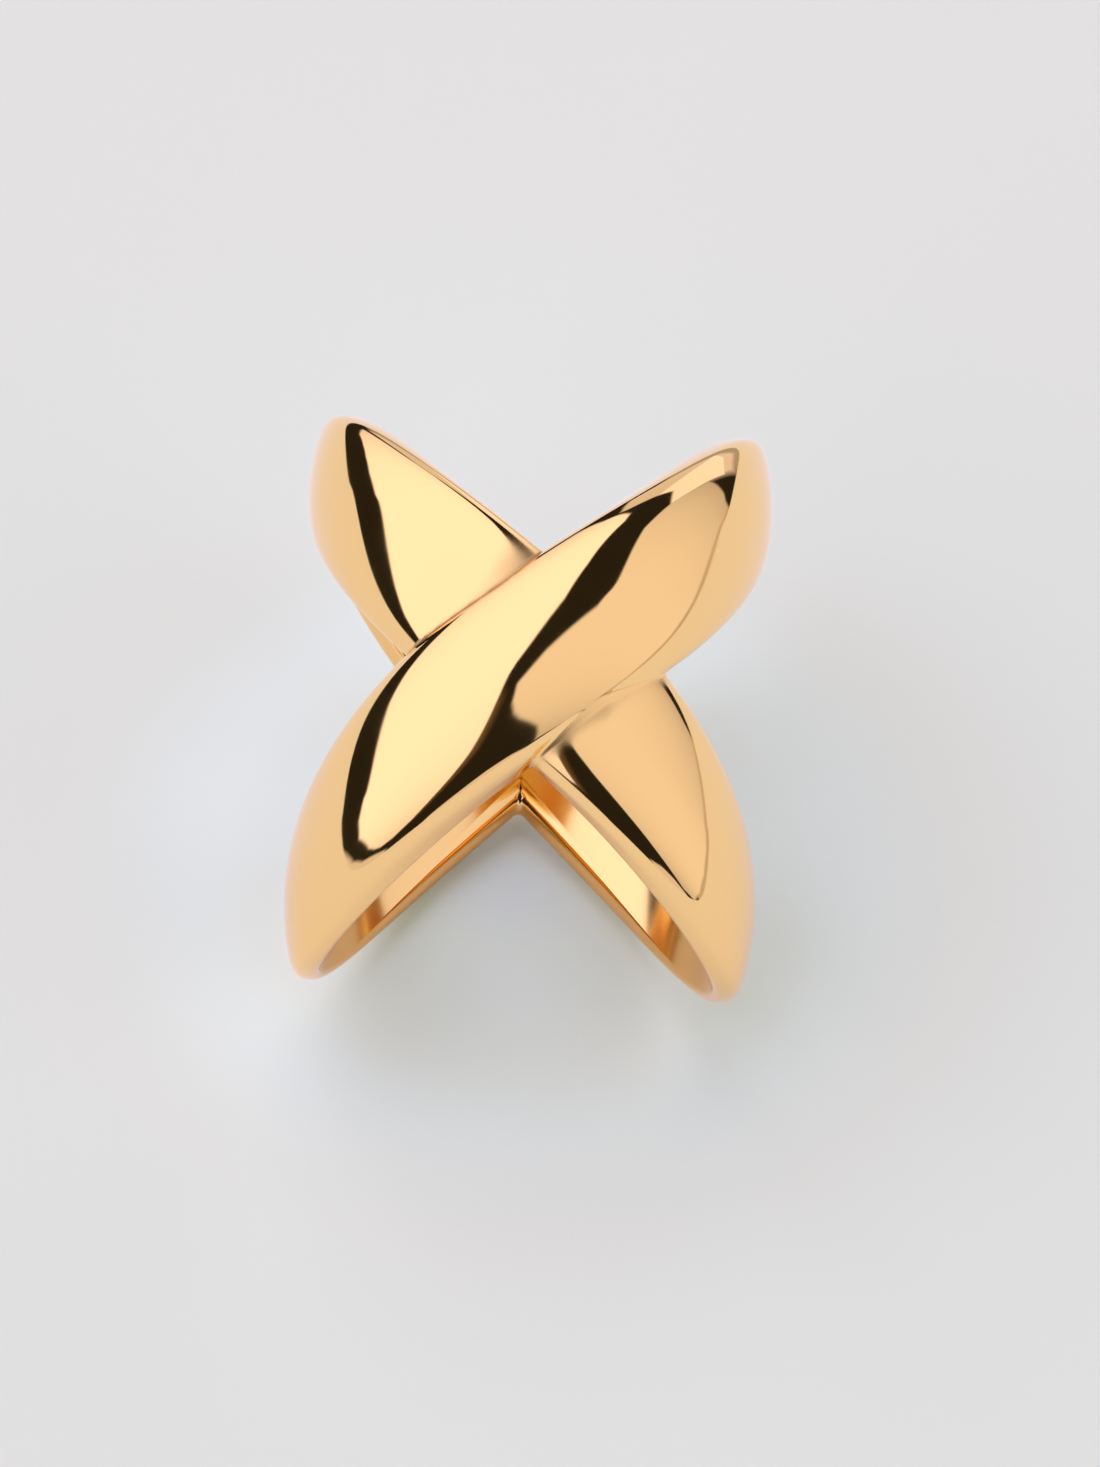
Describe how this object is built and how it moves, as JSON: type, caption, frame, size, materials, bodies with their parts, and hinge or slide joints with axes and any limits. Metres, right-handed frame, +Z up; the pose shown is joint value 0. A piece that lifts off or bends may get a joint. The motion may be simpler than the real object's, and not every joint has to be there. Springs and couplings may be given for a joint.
{
  "type": "crossover ring",
  "caption": "Crossover finger ring: broad domed bands cross on the back of the hand and again on the palm, around a round finger hole.",
  "frame": {"origin": "middle of the ring's footprint, on the surface that it rests on", "axes": "+Z up, front toward -Y; the ring rests tipped forward, so its crossing on the back of the hand faces up and forward and its finger hole runs along Y, rising toward the back"},
  "size_m": [0.0208, 0.0246, 0.0231],
  "materials": {
    "polished_gold": "mirror-polished gold plate"
  },
  "bodies": {
    "root": {"crossed_bands": "polished_gold"}
  },
  "joints": []
}
